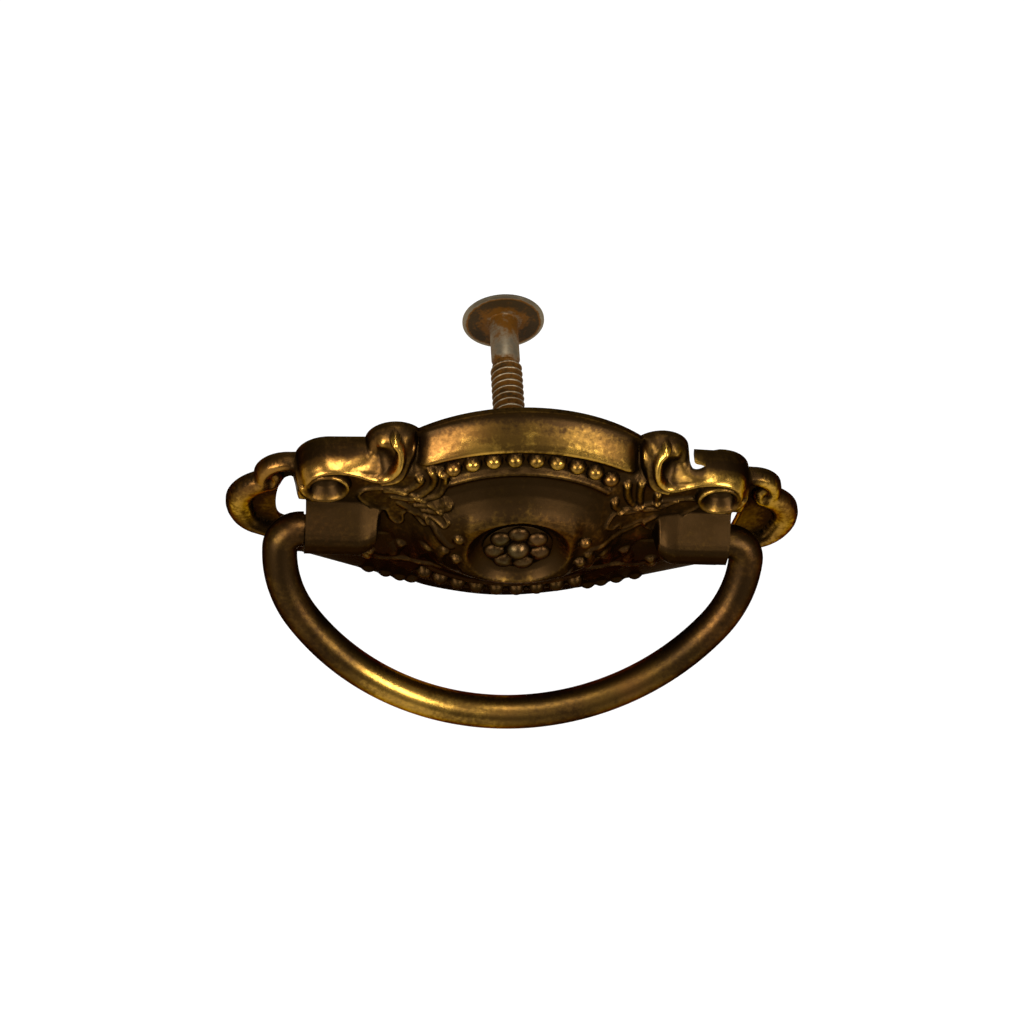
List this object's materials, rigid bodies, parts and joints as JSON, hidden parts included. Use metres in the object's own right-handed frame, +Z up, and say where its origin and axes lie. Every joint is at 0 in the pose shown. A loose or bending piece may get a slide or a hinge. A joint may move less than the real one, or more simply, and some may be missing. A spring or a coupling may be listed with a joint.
{
  "type": "bail pull",
  "caption": "Pressed brass drawer pull with a swinging bail in hooded ears, a beaded medallion with scrolls and leaves, and a screw from behind.",
  "frame": {"origin": "on the screw's axis, in the plane of the plate's back edge, which meets the drawer front", "axes": "+X to the right, +Z up, the decorated front faces -Y and the screw runs back along +Y"},
  "size_m": [0.083, 0.0574, 0.0502],
  "materials": {
    "plate_brass": "antique patina, worn bright on raised edges",
    "bail_brass": "antique patina, rubbed",
    "rosette_brass": "dull greyed patina",
    "strap_steel": "dull, darkened",
    "screw_steel": "dull, rusted in the thread"
  },
  "bodies": {
    "root": {"backplate": "plate_brass", "rosette_post": "rosette_brass", "back_strap": "strap_steel", "screw": "screw_steel"},
    "bail": {"bail": "bail_brass"}
  },
  "joints": [
    {"name": "bail_hinge", "type": "hinge", "parent": "root", "child": "bail", "pos_m": [0, -0.0054, 0], "axis": [-1, 0, 0], "range_deg": [-30, 75]}
  ]
}
